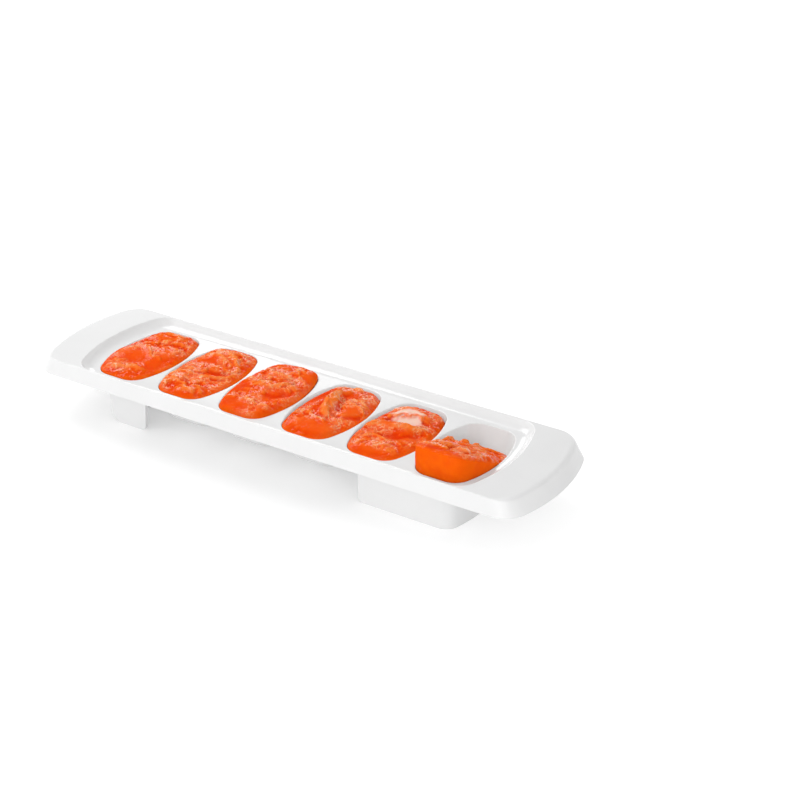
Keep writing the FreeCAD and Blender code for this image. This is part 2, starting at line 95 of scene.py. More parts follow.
class PureeFinish(bpy.types.PropertyGroup):
    """Form and colour of the frozen puree."""

    bright: bpy.props.FloatVectorProperty(
        name="Puree", description="Colour of the smooth puree",
        subtype="COLOR", size=3, min=0, max=1, default=(1.0, 0.135, 0.003))
    # The fold colour is in part painted shade: besides a random deeper tone and a darker top on
    # each heap, it is laid into the heap's hollows where shade would fall.
    deep_and_painted_shade: bpy.props.FloatVectorProperty(
        name="Folds", description="Colour in the folds and hollows",
        subtype="COLOR", size=3, min=0, max=1, default=(0.80, 0.034, 0.002))
    # The ridge colour is painted light: the ridges are made lighter, as if they catch the light.
    light: bpy.props.FloatVectorProperty(
        name="Ridges", description="Colour on the ridges",
        subtype="COLOR", size=3, min=0, max=1, default=(1.0, 0.23, 0.035))
    # The fleck colour is partly pale flecks in the puree and partly painted highlight: it draws
    # thin pale streaks where wet glints would be.
    pale: bpy.props.FloatVectorProperty(
        name="Flecks", description="Colour of the small pale flecks",
        subtype="COLOR", size=3, min=0, max=1, default=(1.0, 0.47, 0.22))
    # The film colour is partly the pale of an icy film and partly a painted sheen, as if the level
    # films reflect a bright light.
    ice_and_painted_sheen: bpy.props.FloatVectorProperty(
        name="Films", description="Colour of the level films of ice",
        subtype="COLOR", size=3, min=0, max=1, default=(0.95, 0.68, 0.56))
    bounce: bpy.props.FloatVectorProperty(
        name="Bounce", description="Colour of the light that it throws on the tray",
        subtype="COLOR", size=3, min=0, max=1, default=(0.72, 0.66, 0.64))
    rim: bpy.props.FloatProperty(
        name="Rim", description="Height of a heap over the deck just inside its edge",
        subtype="DISTANCE", unit="LENGTH", min=0, max=0.005, default=0.6 * MM)
    lump: bpy.props.FloatProperty(
        name="Lumps", description="Height of the smaller lumps",
        subtype="DISTANCE", unit="LENGTH", min=0, max=0.005, default=1.3 * MM)
    fold: bpy.props.FloatProperty(
        name="Folds", description="Height of the folds, as a share of what each is given",
        subtype="FACTOR", min=0, max=2, default=1.1)
    shoulder: bpy.props.FloatProperty(
        name="Shoulder", description="Distance in which a heap rises from its edge",
        subtype="DISTANCE", unit="LENGTH", min=0.0001, max=0.01, default=1.4 * MM)
    axis_height: bpy.props.FloatProperty(
        name="Axis height", description="Rocking axis above the deck",
        subtype="DISTANCE", unit="LENGTH", min=0, max=0.02, default=4.8 * MM)
    width: bpy.props.FloatProperty(
        name="Width", description="Widest part of a portion, along the tray",
        subtype="DISTANCE", unit="LENGTH", min=0.01, max=0.1, default=36.2 * MM)
    bow_radius: bpy.props.FloatProperty(
        name="Bow", description="Bulge of a portion's long sides",
        subtype="DISTANCE", unit="LENGTH", min=0.01, max=0.5, default=58.8 * MM)
    corner_radius: bpy.props.FloatProperty(
        name="Corner", description="Between a portion's long sides and its bottom",
        subtype="DISTANCE", unit="LENGTH", min=0.001, max=0.05, default=9.3 * MM)


class StageSettings(bpy.types.PropertyGroup):
    """Floor, lamps and camera."""

    floor: bpy.props.FloatVectorProperty(
        name="Floor", description="Colour of the floor",
        subtype="COLOR", size=3, min=0, max=1, default=(0.95, 0.95, 0.95))
    floor_shade: bpy.props.FloatProperty(
        name="Shadow depth", description="Share of its lit colour that the floor shows",
        subtype="FACTOR", min=0, max=1, default=0.67)
    # Painted light: the floor glows white for the camera and reflections, less under the tray than
    # far off, which leaves a painted shade there.
    floor_glow: bpy.props.FloatVectorProperty(
        name="Floor glow",
        description="White that the floor shows besides, under the tray and far off",
        size=2, min=0, max=1, default=(0.42, 0.75))
    glow_start: bpy.props.FloatVectorProperty(
        name="Glow distance",
        description="Where the floor's glow starts to grow, and where it is full",
        unit="LENGTH", size=2, min=0, max=2, default=(0.05, 0.34))
    sky: bpy.props.FloatProperty(
        name="Sky", description="Strength of the light from all round",
        min=0, max=5, default=0.60)
    key: bpy.props.FloatProperty(
        name="Key lamp", description="Power of the large lamp, high at the front left",
        subtype="POWER", unit="POWER", min=0, max=100, default=1.4)
    front: bpy.props.FloatProperty(
        name="Front lamp", description="Power of the low lamp in front",
        subtype="POWER", unit="POWER", min=0, max=100, default=2.2)
    right: bpy.props.FloatProperty(
        name="Right lamp", description="Power of the low lamp, front right",
        subtype="POWER", unit="POWER", min=0, max=100, default=2.2)
    left: bpy.props.FloatProperty(
        name="Left lamp", description="Power of the lamp high at the back left",
        subtype="POWER", unit="POWER", min=0, max=100, default=6.0)
    back: bpy.props.FloatProperty(
        name="Back lamp", description="Power of the low lamp far behind, for the highlights",
        subtype="POWER", unit="POWER", min=0, max=100, default=1.6)
    camera_place: bpy.props.FloatVectorProperty(
        name="Camera", description="Where the camera stands",
        subtype="TRANSLATION", unit="LENGTH", size=3, default=(0.4459, -0.6130, 0.4275))
    camera_turn: bpy.props.FloatProperty(
        name="Turn", description="Camera's heading, to the left of straight back",
        subtype="ANGLE", unit="ROTATION", default=math.radians(32.35))
    camera_dip: bpy.props.FloatProperty(
        name="Dip", description="How far the camera looks down",
        subtype="ANGLE", unit="ROTATION", default=math.radians(27.92))
    camera_lens: bpy.props.FloatProperty(
        name="Lens", description="Focal length on a sensor 36 mm wide",
        subtype="DISTANCE_CAMERA", unit="CAMERA", min=10, max=300, default=79.08)


# ------------------------------------------------------------------- materials

def new_group(name, inputs, outputs):
    """An empty shader node group with named number sockets, and its two end nodes."""
    group = bpy.data.node_groups.new(name, "ShaderNodeTree")
    for label, default in inputs.items():
        socket = group.interface.new_socket(label, in_out="INPUT", socket_type="NodeSocketFloat")
        socket.default_value = default
    for label in outputs:
        group.interface.new_socket(label, in_out="OUTPUT", socket_type="NodeSocketFloat")
    return group, group.nodes.new("NodeGroupInput"), group.nodes.new("NodeGroupOutput")


def add(tree, kind, **settings):
    """A new node; settings are its properties, or its inputs where it has no such property."""
    node = tree.nodes.new(kind)
    for name, value in settings.items():
        if hasattr(node, name):
            setattr(node, name, value)
        else:
            node.inputs[name.replace("_", " ")].default_value = value
    return node


def ramp(tree, factor, stops):
    """A ramp of greys over a factor; stops are (position, grey)."""
    node = tree.nodes.new("ShaderNodeValToRGB")
    elements = node.color_ramp.elements
    while len(elements) < len(stops):
        elements.new(0.5)
    for element, (place, grey) in zip(elements, stops):
        element.position = place
        element.color = (grey, grey, grey, 1)
    tree.links.new(factor, node.inputs["Fac"])
    return node.outputs["Color"]


def mottle_group():
    """Noise at one scale, in object coordinates, stretched round its middle by contrast."""
    group, start, end = new_group(
        "mottle", {"Scale": 100.0, "Detail": 3.0, "Warp": 0.0, "Contrast": 1.0}, ["Mask"])
    link = group.links.new
    coords = add(group, "ShaderNodeTexCoord")
    noise = add(group, "ShaderNodeTexNoise")
    link(coords.outputs["Object"], noise.inputs["Vector"])
    link(start.outputs["Scale"], noise.inputs["Scale"])
    link(start.outputs["Detail"], noise.inputs["Detail"])
    link(start.outputs["Warp"], noise.inputs["Distortion"])
    middle = 0.5
    centred = add(group, "ShaderNodeMath", operation="SUBTRACT")
    centred.inputs[1].default_value = middle
    link(noise.outputs["Fac"], centred.inputs[0])
    stretched = add(group, "ShaderNodeMath", operation="MULTIPLY_ADD", use_clamp=True)
    stretched.inputs[2].default_value = middle
    link(centred.outputs[0], stretched.inputs[0])
    link(start.outputs["Contrast"], stretched.inputs[1])
    link(stretched.outputs[0], end.inputs["Mask"])
    return group


def mottle(tree, scale, detail=3.0, warp=0.0, contrast=1.0):
    """Places the mottle group with its own values and returns its mask."""
    group = bpy.data.node_groups.get("mottle") or mottle_group()
    node = add(tree, "ShaderNodeGroup", node_tree=group)
    values = {"Scale": scale, "Detail": detail, "Warp": warp, "Contrast": contrast}
    for name, value in values.items():
        node.inputs[name].default_value = value
    return node.outputs["Mask"]


def blend_colours(tree, factor, first, second):
    """Mixes two colours or colour sockets by a factor socket."""
    node = add(tree, "ShaderNodeMix", data_type="RGBA")
    tree.links.new(factor, node.inputs[0])
    for socket, colour in ((node.inputs[6], first), (node.inputs[7], second)):
        if isinstance(colour, bpy.types.NodeSocket):
            tree.links.new(colour, socket)
        else:
            socket.default_value = (*colour, 1)
    return node.outputs[2]


def scaled(tree, socket, low, high):
    """Maps a 0 to 1 mask to the range low to high."""
    node = add(tree, "ShaderNodeMapRange", To_Min=low, To_Max=high)
    tree.links.new(socket, node.inputs["Value"])
    return node.outputs["Result"]


def eased(tree, value, start, end):
    """Eases a value from one number to another; start and end are (value, number)."""
    node = add(tree, "ShaderNodeMapRange", interpolation_type="SMOOTHSTEP",
               From_Min=start[0], From_Max=end[0], To_Min=start[1], To_Max=end[1])
    tree.links.new(value, node.inputs["Value"])
    return node.outputs["Result"]


def product(tree, first, second):
    """Two masks multiplied."""
    node = add(tree, "ShaderNodeMath", operation="MULTIPLY", use_clamp=True)
    tree.links.new(first, node.inputs[0])
    tree.links.new(second, node.inputs[1])
    return node.outputs[0]


def bumped(tree, height, distance, strength=1.0, under=None):
    """A Bump node on a height mask, over another normal where one is given."""
    node = add(tree, "ShaderNodeBump", Distance=distance, Strength=strength)
    tree.links.new(height, node.inputs["Height"])
    if under is not None:
        tree.links.new(under, node.inputs["Normal"])
    return node.outputs["Normal"]


def new_material(name):
    """A material with nodes, its node tree and its Principled shader."""
    material = bpy.data.materials.new(name)
    material.use_nodes = True
    return material, material.node_tree, material.node_tree.nodes["Principled BSDF"]


def plastic_material(finish):
    """White gloss plastic: slow moulding ripple, faint flow marks and a fine matt grain."""
    material, tree, shader = new_material("tray_plastic")
    link = tree.links.new
    flow_shade, smoother, rougher = 0.965, 0.04, 0.05
    flow = mottle(tree, scale=28, detail=2, warp=1.5, contrast=1.4)
    tone = tuple(finish.colour)
    shade = tuple(flow_shade * c for c in tone)
    link(blend_colours(tree, flow, shade, tone), shader.inputs["Base Color"])
    gloss = mottle(tree, scale=60, detail=3, contrast=1.5)
    gloss = scaled(tree, gloss, finish.roughness - smoother, finish.roughness + rougher)
    link(gloss, shader.inputs["Roughness"])
    slow = bumped(tree, mottle(tree, scale=45, detail=1), distance=finish.ripple, strength=0.5)
    grain = mottle(tree, scale=900, detail=2)
    link(bumped(tree, grain, distance=0.01 * MM, strength=0.3, under=slow), shader.inputs["Normal"])
    shader.inputs["IOR"].default_value = 1.49
    return material


def puree_material(finish):
    """Frozen puree: orange body, redder painted shade in its folds and hollows, painted light on
    its ridges, pale flecks mixed with painted highlights, icy films whose paleness is partly a
    painted sheen, and a wet skin.

    The heap's own attributes say where it is hollow, ridged, crumbly, under a film and
    open to the air; noise breaks each of them up.
    """
    material, tree, shader = new_material("frozen_puree")
    link = tree.links.new
    hollow, ridge, crumbly, film, open_top = (
        add(tree, "ShaderNodeAttribute", attribute_name=name).outputs["Fac"]
        for name in ("hollow", "ridge", "crumbly", "film", "open_top")
    )
    bright, deep_and_painted_shade, light, pale, ice_and_painted_sheen, bounced = (
        tuple(getattr(finish, name))
        for name in ("bright", "deep_and_painted_shade", "light", "pale", "ice_and_painted_sheen", "bounce")
    )
    clouds = scaled(tree, mottle(tree, scale=150, detail=3, warp=0.8, contrast=2.4), 0.0, 0.35)
    tone = blend_colours(tree, clouds, bright, deep_and_painted_shade)
    tone = blend_colours(tree, scaled(tree, open_top, 0.0, 0.42), tone, deep_and_painted_shade)
    # Painted shade: the hollows of the heap take the fold colour, as if in shadow.
    tone = blend_colours(tree, scaled(tree, hollow, 0.0, 0.8), tone, deep_and_painted_shade)
    # Painted light: ridges, most of all where the puree is crumbly, take the lighter ridge colour.
    raised = product(tree, ridge, scaled(tree, crumbly, 0.3, 0.8))
    tone = blend_colours(tree, raised, tone, light)
    # Pale flecks and painted highlights: thin pale streaks in patches over the crumbly puree,
    # standing in part for glints.
    patches = mottle(tree, scale=120, detail=3, warp=0.5, contrast=2.4)
    patches = ramp(tree, patches, [(0.45, 0.0), (0.65, 1.0)])
    lines = mottle(tree, scale=220, detail=3, warp=1.2, contrast=1.5)
    lines = ramp(tree, lines, [(0.45, 0.15), (0.50, 1.0), (0.55, 0.15)])
    flecks_and_painted_highlights = product(tree, product(tree, patches, lines), crumbly)
    tone = blend_colours(tree, flecks_and_painted_highlights, tone, pale)
    # Icy films, made pale partly as a painted sheen, as if their level tops reflect a bright light.
    tone = blend_colours(tree, scaled(tree, film, 0.0, 0.9), tone, ice_and_painted_sheen)
    diffuse_ray = add(tree, "ShaderNodeLightPath").outputs["Is Diffuse Ray"]
    link(blend_colours(tree, diffuse_ray, tone, bounced), shader.inputs["Base Color"])
    wet = mottle(tree, scale=200, detail=3, warp=0.8, contrast=2.4)
    wet = ramp(tree, wet, [(0.52, 0.0), (0.60, 1.0)])
    link(product(tree, wet, scaled(tree, crumbly, 0.04, 1.0)), shader.inputs["Coat Weight"])
    coarse = add(tree, "ShaderNodeBump", Distance=0.8 * MM)
    link(mottle(tree, scale=380, detail=3, warp=0.6, contrast=1.3), coarse.inputs["Height"])
    link(scaled(tree, crumbly, 0.05, 0.5), coarse.inputs["Strength"])
    fine = mottle(tree, scale=1200, detail=1)
    fine = bumped(tree, fine, distance=0.08 * MM, strength=0.4, under=coarse.outputs["Normal"])
    link(fine, shader.inputs["Normal"])
    drops = add(tree, "ShaderNodeTexNoise", Scale=300.0, Detail=2.0, Distortion=0.6)
    link(add(tree, "ShaderNodeTexCoord").outputs["Object"], drops.inputs["Vector"])
    drops = bumped(tree, drops.outputs["Fac"], distance=0.65 * MM)
    link(drops, shader.inputs["Coat Normal"])
    settings = {
        "Roughness": 0.5, "IOR": 1.05, "Coat Roughness": 0.08, "Coat IOR": 1.5,
        "Subsurface Weight": 0.15, "Subsurface Radius": (1.0, 0.2, 0.05),
        "Subsurface Scale": 2 * MM,
    }
    for name, value in settings.items():
        shader.inputs[name].default_value = value
    return material


# ------------------------------------------------------------------ the puree

# How the spoon left each portion, in millimetres from the middle of its well, +Y to
# the back. "crown" is the middle of the even dome, and "edge" its height at the well's
# wall, both over the deck, the edge as (degrees from +X towards +Y, height). A
# spoonful is (x, y, length, width, turn in degrees, rise over the dome). A fold is
# (height, width, points), raised along the points or, where its height is negative,
# pressed in. A smooth place is (x, y, length, width, turn); elsewhere the puree is
# crumbly. A film is a smooth place, level and pale, where the puree has iced over; its
# paleness is in part a painted sheen.
HEAPS = {
    "portion_1": {
        "crown": 1.8,
        "edge": [(0, 0), (50, -0.4), (70, -1.3), (90, -2.2), (110, -3.0), (150, -2.8),
                 (170, -1.5), (190, 0.3), (215, 0.5), (240, 0)],
        "spoonfuls": [(1, -19, 22, 10, 12, 1.1), (-10, -4, 16, 9, 80, 0.9),
                      (0, 16, 22, 16, -10, 1.0), (9, 2, 20, 9, 75, 0.8)],
        "folds": [(0.9, 1.3, [(-6, -22), (-1, -21), (4, -18.5), (9, -17)]),
                  (-0.8, 1.2, [(-3, -18), (1, -19.5), (4, -16)]),
                  (0.7, 1.2, [(-11, -15), (-8, -15.5), (-5, -13)]),
                  (0.8, 1.2, [(-2, 3), (2, -1), (5, -4), (10, -4)]),
                  (-0.8, 1.6, [(-2, 9), (5, 12), (13, 12)]),
                  (0.8, 1.6, [(-5, 22), (1, 21), (6, 18)]),
                  (-0.6, 1.0, [(-8, 6), (-3, 8), (2, 6)])],
        "smooth": [(-4, -8, 20, 15, -8), (11, -8, 10, 26, 0)],
    },
    "portion_2": {
        "crown": 1.9,
        "edge": [(0, 0), (70, -0.5), (90, -0.1), (110, -0.6), (130, -1.8), (170, -1.2),
                 (210, -1.4), (240, -0.3), (270, 0)],
        "spoonfuls": [(-8, -11, 24, 12, 68, 1.2), (4, -20, 16, 10, 10, 0.9),
                      (0, 15, 24, 17, -12, 1.4)],
        "folds": [(0.8, 1.2, [(-6, -17), (-1, -19), (3, -22), (8, -23)]),
                  (-0.9, 1.6, [(-2, -14), (2, -16), (6, -14)]),
                  (1.0, 1.1, [(2, -9), (6, -7), (11, -4), (15, 1)]),
                  (-1.3, 3.2, [(2, -3), (6, -1), (10, 2)]),
                  (0.7, 1.0, [(-1, 0), (1, -3), (4, -4)]),
                  (0.8, 1.3, [(-6, 20), (2, 17), (9, 13), (13, 7)]),
                  (0.6, 1.1, [(-4, 14), (3, 11), (8, 8)]),
                  (-0.8, 1.4, [(7, 20), (10, 18)])],
        "smooth": [(5, -3, 13, 8, 20), (-5, 8, 10, 8, 0), (3, -27, 22, 5, 0)],
    },
    "portion_3": {
        "crown": 3,
        "edge": [(0, 0), (50, 0.8), (70, 1.2), (90, 1.0), (110, -0.4), (130, -2.2), (150, -1.4),
                 (190, -0.7), (210, -1.6), (240, -0.3)],
        "spoonfuls": [(-3, -20, 22, 13, 6, 0.8), (2, 1, 25, 9, 14, 1.1),
                      (7, 18, 18, 14, -15, 1.0), (-12, 4, 22, 9, 75, 0.7)],
        "folds": [(-1.2, 1.8, [(-7, 2), (-4, 4), (-2, 6)]),
                  (0.8, 1.4, [(-6, -3), (0, -2), (5, 1), (10, 6)]),
                  (-0.9, 2.4, [(4, -8), (9, -5), (13, -2)]),
                  (0.7, 0.7, [(3, 21), (6, 17), (9, 14), (14, 12)]),
                  (-0.9, 1.3, [(8, 1), (10, 6), (9, 9)]),
                  (0.6, 1.3, [(-9, 13), (-3, 15), (2, 13)]),
                  (0.7, 1.3, [(-2, -15), (4, -18), (10, -17)])],
        "smooth": [(8, -7, 11, 15, -20), (-4, -23, 20, 9, 0), (13, 19, 9, 14, 0),
                   (-13, -8, 6, 22, -10)],
    },
    "portion_4": {
        "crown": 1.6,
        "edge": [(0, -0.2), (30, -0.7), (50, -1.2), (70, -2.6), (90, -3.2), (110, -3.5),
                 (180, -3.3), (210, -2.4), (240, -0.5), (300, -0.2)],
        "spoonfuls": [(-2, 3, 27, 8, 106, 2.3), (2, -18, 25, 14, -4, 1.3),
                      (10, 3, 20, 10, 85, 1.0)],
        "folds": [(1.2, 1.8, [(-1, 17), (-5, 11), (-5, 4), (-1, -4), (3, -9)]),
                  (-1.7, 2.2, [(1, 10), (2, 5), (4, 1)]),
                  (0.8, 1.0, [(5, 12), (10, 11), (16, 9)]),
                  (0.8, 1.0, [(5, 7), (10, 7), (15, 4)]),
                  (1.2, 1.6, [(-1, 24), (1, 23)]),
                  (0.9, 1.3, [(-6, -10), (-1, -13), (5, -14)]),
                  (-0.8, 1.6, [(6, -6), (11, -5), (15, -1)])],
        "smooth": [(4, -21, 24, 13, 0), (1, 15, 9, 7, 0), (11, 0, 9, 12, 0), (-12, 8, 8, 24, -10)],
    },
    "portion_5": {
        "crown": 1.2,
        "edge": [(0, -0.4), (30, -2.0), (50, -3.4), (70, -3.6), (170, -3.3), (190, -2.4),
                 (210, -1.0), (240, -0.4), (300, -0.2)],
        "spoonfuls": [(-1, 15, 21, 13, -8, 1.8), (-2, 0, 29, 8, 13, 1.9), (0, -19, 22, 12, 0, 0.9)],
        "folds": [(0.9, 1.1, [(-15, -5), (-7, -3), (0, -1), (7, 2), (12, 6)]),
                  (-1.3, 1.5, [(-9, 5), (-3, 7), (3, 7)]),
                  (0.8, 1.2, [(-3, 9), (-1, 13), (4, 14), (7, 11)]),
                  (1.2, 2.0, [(-9, 9), (-6, 11)]),
                  (-1.0, 2.6, [(-2, -8), (5, -6), (11, -1)]),
                  (0.8, 1.3, [(-9, -13), (-5, -11), (0, -13)])],
        "smooth": [(6, -6, 20, 10, 20), (0, -25, 24, 7, 0), (-5, -1, 9, 5, 10)],
        "films": [(-2, 12.5, 15, 8, 20), (1, 7.5, 15, 8, 8)],
    },
    "portion_6": {
        "crown": 2.2,
        "edge": [(0, 0), (90, 0), (180, 0), (270, 0)],
        "spoonfuls": [(-5, -13, 11, 12, 0, 1.4), (5, -12, 9, 10, 0, 1.1), (-3, 6, 22, 12, 0, 1.0),
                      (3, 20, 20, 10, 0, 1.0)],
        "folds": [(0.9, 1.2, [(-13, -21), (-6, -22), (0, -20)]),
                  (-1.3, 1.1, [(0.5, -18), (0.5, -8)]),
                  (-1.2, 1.2, [(9, -16), (10, -8)]),
                  (0.9, 1.6, [(-10, -12), (-3, -10)]),
                  (0.8, 1.4, [(10, -14), (15, -8)]),
                  (1.6, 1.2, [(-14, 4), (-11, 7)]),
                  (1.5, 0.9, [(-6, 9), (-4, 10)]),
                  (1.4, 0.9, [(-4, 18), (-2, 19)]),
                  (1.2, 0.9, [(4, 14), (7, 17)])],
        "smooth": [(0, -25, 20, 4, 0)],
    },
}

# The last portion is held rocked up in front, by this many degrees.
TILTS = {"portion_6": 26.0}

# The heaps are worked out on a square grid with this step, which reaches this far from
# the middle along and across the tray. All are in millimetres.
STEP, GRID_X, GRID_Y = 0.25, 22, 32

# The noise in a heap: the size of its cells in millimetres, and its share of the lump
# height. Ridges and small lumps stand only where the puree is crumbly. The two sizes of
# drift, added up, move all else sideways by about DRIFT millimetres.
SWELL, RIDGES, SMALL = (8.0, 0.25), (4.2, 0.38), (1.8, 0.12)
SLOW_DRIFT, FAST_DRIFT, DRIFT = (6.0, 1.0), (1.7, 0.3), 1.3

# Hollows and ridges are told by two blurs: each one's width, and the height over it
# that counts as a full ridge, in millimetres.
RELIEF = ((1.5, 0.5), (4, 1.6))


def lattice_noise(x, y, cell, seed):
    """Gradient noise in the plane, about -1 to 1.

    Each corner of a square lattice has a random direction. A point takes the dot
    product of its offset from each of its cell's four corners with that corner's
    direction, blended by 6t^5 - 15t^4 + 10t^3 along both axes, times a gain.
    """
    repeat, gain = 64, 1.5
    table = np.random.RandomState(seed).uniform(0, 2 * math.pi, (repeat, repeat))
    column, row = np.floor(x / cell).astype(int), np.floor(y / cell).astype(int)
    u, v = x / cell - column, y / cell - row

    def corner(i, j):
        angle = table[(column + i) % repeat, (row + j) % repeat]
        return np.cos(angle) * (u - i) + np.sin(angle) * (v - j)

    s, t = (w ** 3 * (w * (6 * w - 15) + 10) for w in (u, v))
    front = corner(0, 0) * (1 - s) + corner(1, 0) * s
    back = corner(0, 1) * (1 - s) + corner(1, 1) * s
    return gain * (front * (1 - t) + back * t)


def stroke_height(x, y, width, points):
    """A fold: 1 on the line through the points, falling off to its sides.

    The distance is to the nearest of the line's straight runs. The fold is steep on
    its left side and gentle on its right: exp(-(distance / width)^2), with the width
    about halved on the left. It falls off round its ends in the same way.
    """
    steepness = 0.55
    nearest = np.full(x.shape, np.inf)
    left = np.zeros(x.shape, bool)
    for (x0, y0), (x1, y1) in zip(points, points[1:]):
        along_x, along_y = x1 - x0, y1 - y0
        length = math.hypot(along_x, along_y)
        share = np.clip(((x - x0) * along_x + (y - y0) * along_y) / length ** 2, 0, 1)
        gap = np.hypot(x - x0 - share * along_x, y - y0 - share * along_y)
        closer = gap < nearest
        nearest = np.where(closer, gap, nearest)
        side = (x - x0) * along_y - (y - y0) * along_x < 0
        left = np.where(closer, side, left)
    return np.exp(-(nearest / np.where(left, steepness * width, width)) ** 2)


def portion_reach(x, size):
    """Farthest a portion reaches from its rocking axis at a place along the axis.

    Its section is flat at the bottom, then a corner arc, then a bowed side:
    radius; radius - corner + sqrt(corner^2 - (x - corner middle)^2);
    sqrt(bow^2 - (x - bow middle)^2).
    """
    x = np.abs(x)
    radius, corner, bow = size["radius"], size["corner"], size["bow"]
    bow_x = size["width"] / 2 - bow
    corner_x = bow_x + math.sqrt((bow - corner) ** 2 - (radius - corner) ** 2)
    side_x = bow_x + bow * (corner_x - bow_x) / (bow - corner)
    turning = radius - corner + np.sqrt(np.maximum(corner ** 2 - (x - corner_x) ** 2, 0))
    bowed = np.sqrt(np.maximum(bow ** 2 - (x - bow_x) ** 2, 0))
    return np.select([x <= corner_x, x <= side_x], [np.full(x.shape, radius), turning], bowed)


def mouth_outline(angle, drop, size):
    """Distance from the middle to the well's wall for each angle, at a drop under the axis.

    Found by halving an interval: a point is inside where its distance from the
    rocking axis is less than the portion's reach there.
    """
    halvings = 40
    low, high = np.zeros(angle.shape), np.full(angle.shape, 2 * size["radius"])
    for _ in range(halvings):
        middle = (low + high) / 2
        x, y = middle * np.cos(angle), middle * np.sin(angle)
        inside = np.hypot(y, drop) < portion_reach(x, size)
        low, high = np.where(inside, middle, low), np.where(inside, high, middle)
    return low


def turned(x, y, place):
    """How far out a point lies in a turned oval: 0 at its middle and 1 on its edge."""
    middle_x, middle_y, length, width, turn = place
    c, s = math.cos(math.radians(turn)), math.sin(math.radians(turn))
    u, v = x - middle_x, y - middle_y
    return np.hypot((u * c + v * s) / (length / 2), (v * c - u * s) / (width / 2))


def blurred(field, width):
    """A field smoothed by a bell curve of the given width, both in grid steps."""
    rows = np.fft.fftfreq(field.shape[0])[:, None]
    columns = np.fft.rfftfreq(field.shape[1])[None, :]
    bell = np.exp(-2 * (math.pi * width) ** 2 * (rows ** 2 + columns ** 2))
    return np.fft.irfft2(np.fft.rfft2(field) * bell, s=field.shape)


def edge_height(heap, angle):
    """Height over the deck, in mm, at which the heap meets the wall."""
    degrees, heights = zip(*heap["edge"])
    return np.interp(np.degrees(angle), degrees, heights, period=360)


def heap_fields(body, size, finish):
    """Height of the spooned puree over the deck, in mm, and masks of its kinds of place.

    The dome is crown x (1 - q^2) + edge x q^5, where q is 0 in the middle and 1 at the
    well's wall. A spoonful is the cap of an ellipsoid, dome at its middle + rise x
    (2 sqrt(1 - 0.75 q^2) - 1), where q is 1 on its oval; the heap is the highest of
    these, blurred a little. Folds and three sizes of noise come on top, moved sideways
    by a slower noise so that they fold over each other. The puree is smooth in an oval
    by exp(-q^4), and crumbly elsewhere. A film flattens it by exp(-q^10), and cuts a
    crack, just outside its oval, into the film before it. A hollow lies below the
    blurred heap and a ridge above it.
    """
    heap, seed = HEAPS[body], 11 * int(body.rsplit("_", 1)[1])
    y, x = np.meshgrid(np.arange(-GRID_Y, GRID_Y, STEP), np.arange(-GRID_X, GRID_X, STEP))

    def dome(u, v):
        angle = np.arctan2(v, u)
        q = np.hypot(u, v) * MM / mouth_outline(angle, size["drop"], size)
        return heap["crown"] * (1 - q ** 2) + edge_height(heap, angle) * q ** 5

    def drift(first, second):
        """The sideways move along one axis, from two noises with these seeds."""
        slow, fast = (share * lattice_noise(x, y, cell, seed + number)
                      for (cell, share), number in ((SLOW_DRIFT, first), (FAST_DRIFT, second)))
        return slow + fast

    softening, twist, squeeze = 0.9, 2, 1.2
    crack_place, crack_sharpness = 1.1, 5
    form = dome(x, y)
    for *place, rise in heap["spoonfuls"]:
        cap = 2 * np.sqrt(np.maximum(1 - 0.75 * turned(x, y, place) ** 2, 0)) - 1
        form = np.maximum(form, dome(*np.array(place[:2])) + rise * cap)
    form = blurred(form, softening / STEP)
    drift_x, drift_y = drift(0, 5), drift(1, 6)
    wx, wy = x + DRIFT * drift_x, y + DRIFT * drift_y
    crumbly = np.ones(x.shape)
    for place in heap["smooth"]:
        crumbly *= 1 - np.exp(-turned(x, y, place) ** 4)
    swell = lattice_noise(wx, wy, SWELL[0], seed + 2)
    ridges = 1 - 2 * np.abs(lattice_noise(wx + twist * drift_x, wy, RIDGES[0], seed + 3))
    small = 1 - 2 * np.abs(lattice_noise(wx * squeeze, wy, SMALL[0], seed + 4))
    lumps = SWELL[1] * swell + crumbly * (RIDGES[1] * ridges + SMALL[1] * small)
    folds = sum(h * stroke_height(wx, wy, w, points) for h, w, points in heap["folds"])
    height = form + finish.lump / MM * lumps + finish.fold * folds
    film = np.zeros(x.shape)
    for place in heap.get("films", []):
        q = turned(wx + drift_x, wy + drift_y, place)
        inside = np.exp(-q ** 10)
        level = np.average(height, weights=inside)
        height += inside * (level - height)
        crack = np.exp(-(crack_sharpness * (q - crack_place)) ** 2)
        film = np.maximum(film * (1 - crack), inside)
    relief = sum((height - blurred(height, width / STEP)) / full for width, full in RELIEF)
    return {
        "height": height,
        "hollow": np.clip(-relief, 0, 1),
        "ridge": np.clip(relief, 0, 1),
        "crumbly": crumbly * (1 - film),
        "film": film,
    }


def sample(field, x, y):
    """A field's values at points in mm, mixed from the four nearest grid points."""
    column, row = (x + GRID_X) / STEP, (y + GRID_Y) / STEP
    i, j = np.floor(column).astype(int), np.floor(row).astype(int)
    u, v = column - i, row - j
    near = field[i, j] * (1 - v) + field[i, j + 1] * v
    far = field[i + 1, j] * (1 - v) + field[i + 1, j + 1] * v
    return near * (1 - u) + far * u


